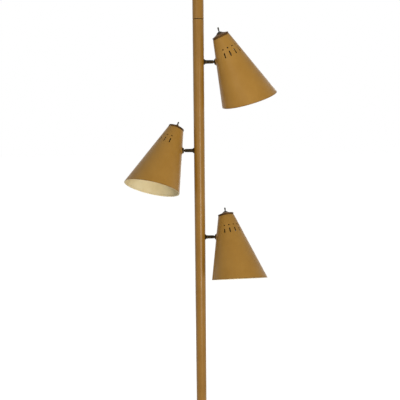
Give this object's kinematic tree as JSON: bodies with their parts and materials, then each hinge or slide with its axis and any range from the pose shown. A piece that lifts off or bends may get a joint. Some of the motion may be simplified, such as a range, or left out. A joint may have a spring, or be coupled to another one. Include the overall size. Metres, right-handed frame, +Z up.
{
  "type": "tension pole lamp",
  "caption": "Floor-to-ceiling sprung pole lamp with cone shades on short ball-swivel arms, a toggle switch on each cap, and rubber end pads.",
  "frame": {"origin": "centre of the floor pad's underside, on the pole's axis", "axes": "+Z up along the pole, +X towards the side that carries the top and bottom shades, +Y towards the back, away from the picture's camera"},
  "size_m": [0.353, 0.1772, 2.464],
  "materials": {
    "pole_enamel": "semi-gloss baked tan enamel",
    "shade_enamel": "satin baked mustard tan enamel outside, cream enamel inside",
    "bronze": "dark oil-rubbed bronze plating",
    "cap_bronze": "brown bronze lacquer, satin",
    "rubber": "matt black rubber",
    "bright_steel": "zinc plated steel",
    "spring_steel": "oiled spring steel",
    "aged_nickel": "aged nickel plate",
    "phenolic": "moulded dark phenolic",
    "shell_brass": "bright rolled brass",
    "bulb_aluminium": "rolled aluminium cap",
    "bulb_glass": "inside-frosted glass",
    "grommet_nylon": "moulded nylon"
  },
  "bodies": {
    "root": {"foot_pad": "rubber", "foot_plug": "bronze", "lower_pole": "pole_enamel", "lower_ferrule": "bronze", "middle_pole": "pole_enamel", "upper_ferrule": "bronze", "upper_pole": "pole_enamel", "cord_grommet": "grommet_nylon", "arm_collars": "bronze", "guide_bushing": "bronze", "spring_seat": "bright_steel", "tension_spring": "spring_steel"},
    "plunger": {"plunger_tube": "bronze", "plunger_stop": "bright_steel", "ceiling_cup": "bronze", "ceiling_pad": "rubber"},
    "top_arm": {"top_arm": "bronze", "top_arm_nut": "bright_steel"},
    "top_head": {"top_ball_cup": "bronze", "top_ball_nut": "bright_steel", "top_shade": "shade_enamel", "top_cap": "cap_bronze", "top_cap_nut": "aged_nickel", "top_switch_body": "phenolic", "top_socket_bracket": "bright_steel", "top_socket": "phenolic", "top_screw_shell": "shell_brass", "top_bulb_base": "bulb_aluminium", "top_bulb_glass": "bulb_glass"},
    "top_toggle": {"top_toggle_lever": "aged_nickel"},
    "middle_arm": {"middle_arm": "bronze", "middle_arm_nut": "bright_steel"},
    "middle_head": {"middle_ball_cup": "bronze", "middle_ball_nut": "bright_steel", "middle_shade": "shade_enamel", "middle_cap": "cap_bronze", "middle_cap_nut": "aged_nickel", "middle_switch_body": "phenolic", "middle_socket_bracket": "bright_steel", "middle_socket": "phenolic", "middle_screw_shell": "shell_brass", "middle_bulb_base": "bulb_aluminium", "middle_bulb_glass": "bulb_glass"},
    "middle_toggle": {"middle_toggle_lever": "aged_nickel"},
    "bottom_arm": {"bottom_arm": "bronze", "bottom_arm_nut": "bright_steel"},
    "bottom_head": {"bottom_ball_cup": "bronze", "bottom_ball_nut": "bright_steel", "bottom_shade": "shade_enamel", "bottom_cap": "cap_bronze", "bottom_cap_nut": "aged_nickel", "bottom_switch_body": "phenolic", "bottom_socket_bracket": "bright_steel", "bottom_socket": "phenolic", "bottom_screw_shell": "shell_brass", "bottom_bulb_base": "bulb_aluminium", "bottom_bulb_glass": "bulb_glass"},
    "bottom_toggle": {"bottom_toggle_lever": "aged_nickel"}
  },
  "joints": [
    {"name": "plunger_slide", "type": "slide", "parent": "root", "child": "plunger", "axis": [0, 0, 1], "range_m": [-0.08, 0], "stiffness_N_per_m": 800, "springref_m": 0.075, "deforming": ["tension_spring"]},
    {"name": "top_arm_roll", "type": "hinge", "parent": "root", "child": "top_arm", "pos_m": [0.0401, 0, 1.816], "axis": [1, 0, 0], "range_deg": [-128.6, 111.4]},
    {"name": "top_shade_tilt", "type": "hinge", "parent": "top_arm", "child": "top_head", "pos_m": [0.0401, 0, 1.816], "axis": [0, -0.9888, -0.1495], "range_deg": [-20.6, 13.4]},
    {"name": "top_toggle_throw", "type": "hinge", "parent": "top_head", "child": "top_toggle", "pos_m": [0.04681, -0.01573, 1.87601], "axis": [-0.6789, 0.7042, -0.2078], "range_deg": [-32, 0]},
    {"name": "middle_arm_roll", "type": "hinge", "parent": "root", "child": "middle_arm", "pos_m": [-0.0401, 0, 1.6155], "axis": [-1, 0, 0], "range_deg": [-142.5, 97.5]},
    {"name": "middle_shade_tilt", "type": "hinge", "parent": "middle_arm", "child": "middle_head", "pos_m": [-0.0401, 0, 1.6155], "axis": [0, 0.9239, -0.3827], "range_deg": [-16, 18]},
    {"name": "middle_toggle_throw", "type": "hinge", "parent": "middle_head", "child": "middle_toggle", "pos_m": [-0.05233, 0.02498, 1.67136], "axis": [-0.9224, -0.0478, 0.3832], "range_deg": [-32, 0]},
    {"name": "bottom_arm_roll", "type": "hinge", "parent": "root", "child": "bottom_arm", "pos_m": [0.0401, 0, 1.4075], "axis": [1, 0, 0], "range_deg": [-98.2, 141.8]},
    {"name": "bottom_shade_tilt", "type": "hinge", "parent": "bottom_arm", "child": "bottom_head", "pos_m": [0.0401, 0, 1.4075], "axis": [0, -0.9285, 0.3714], "range_deg": [-6, 28]},
    {"name": "bottom_toggle_throw", "type": "hinge", "parent": "bottom_head", "child": "bottom_toggle", "pos_m": [0.06133, 0.01243, 1.46485], "axis": [-0.9031, 0.3111, -0.2959], "range_deg": [-32, 0]}
  ]
}
